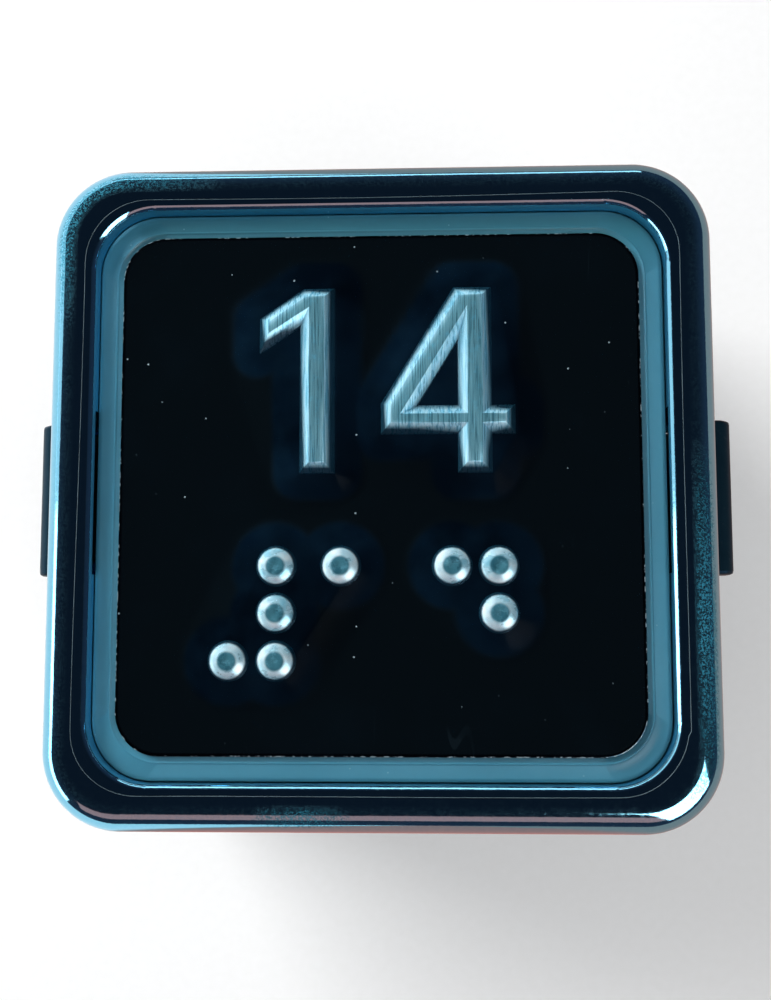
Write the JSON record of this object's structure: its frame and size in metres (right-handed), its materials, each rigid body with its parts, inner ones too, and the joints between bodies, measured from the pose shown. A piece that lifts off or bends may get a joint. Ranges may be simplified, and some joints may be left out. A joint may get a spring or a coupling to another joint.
{
  "type": "illuminated panel push button",
  "caption": "Square lift call push button for a panel: rounded plated bezel, light ring, raised-character plate with braille that presses in, and spring wings behind the panel.",
  "frame": {"origin": "centre of the rear cover's flat rear face, on which the button lies face up", "axes": "+Z out of the face, against the way it is pressed; +Y to the top of the face; +X to the right of the face, towards the right wing"},
  "size_m": [0.0398, 0.0362, 0.0205],
  "materials": {
    "bezel_chrome": "bright plated metal with a blue cast",
    "plate_steel": "blackened mirror-polished steel",
    "film_clear": "thin clear blue polythene film",
    "light_ring": "satin translucent teal plastic",
    "adhesive_foam": "dull foam tape",
    "black_plastic": "fine-grained black moulding",
    "cover_plastic": "fine-grained black moulding",
    "wing_plastic": "smooth black moulding",
    "board_laminate": "green solder resist",
    "switch_plastic": "black moulding",
    "switch_sheet": "tinned sheet",
    "stem_plastic": "smooth natural plastic",
    "spring_steel": "drawn wire",
    "led_body": "white reflector with a clear filling",
    "resistor_ceramic": "black glaze with tinned ends",
    "connector_nylon": "natural nylon",
    "pin_tin": "tinned",
    "screw_zinc": "bright zinc plate"
  },
  "bodies": {
    "body": {"bezel": "bezel_chrome", "housing": "black_plastic", "rear_cover": "cover_plastic", "circuit_board": "board_laminate", "switch_base": "switch_plastic", "switch_cover": "switch_sheet", "connector_shroud": "connector_nylon", "return_spring_1": "spring_steel", "cover_screw_1": "screw_zinc", "resistor_1": "resistor_ceramic", "connector_pin_1": "pin_tin", "return_spring_2": "spring_steel", "cover_screw_2": "screw_zinc", "resistor_2": "resistor_ceramic", "connector_pin_2": "pin_tin", "return_spring_3": "spring_steel", "cover_screw_3": "screw_zinc", "resistor_3": "resistor_ceramic", "connector_pin_3": "pin_tin", "return_spring_4": "spring_steel", "cover_screw_4": "screw_zinc", "resistor_4": "resistor_ceramic", "connector_pin_4": "pin_tin", "led_1": "led_body", "led_2": "led_body", "led_3": "led_body", "led_4": "led_body", "led_5": "led_body", "led_6": "led_body", "led_7": "led_body", "led_8": "led_body"},
    "face": {"light_ring_cap": "light_ring", "adhesive_pad": "adhesive_foam", "face_plate": "plate_steel", "protective_film": "film_clear"},
    "stem": {"switch_stem": "stem_plastic"},
    "left_wing": {"left_panel_wing": "wing_plastic"},
    "right_wing": {"right_panel_wing": "wing_plastic"}
  },
  "joints": [
    {"name": "face_press", "type": "slide", "parent": "body", "child": "face", "axis": [0, 0, -1], "range_m": [0, 0.0012], "stiffness_N_per_m": 1500, "springref_m": -0.0015, "deforming": ["return_spring_1", "return_spring_2", "return_spring_3", "return_spring_4"]},
    {"name": "stem_press", "type": "slide", "parent": "body", "child": "stem", "axis": [0, 0, -1], "range_m": [0, 0.0012]},
    {"name": "left_wing_fold", "type": "hinge", "parent": "body", "child": "left_wing", "pos_m": [-0.0149, 0, 0.0046], "axis": [0, 1, 0], "range_deg": [0, 19], "stiffness_Nm_per_rad": 0.15, "springref_deg": -2.86},
    {"name": "right_wing_fold", "type": "hinge", "parent": "body", "child": "right_wing", "pos_m": [0.0149, 0, 0.0046], "axis": [0, -1, 0], "range_deg": [0, 19], "stiffness_Nm_per_rad": 0.15, "springref_deg": -2.86}
  ],
  "couplings": [
    {"joint": "stem_press", "follows": "face_press", "ratio": 1}
  ]
}
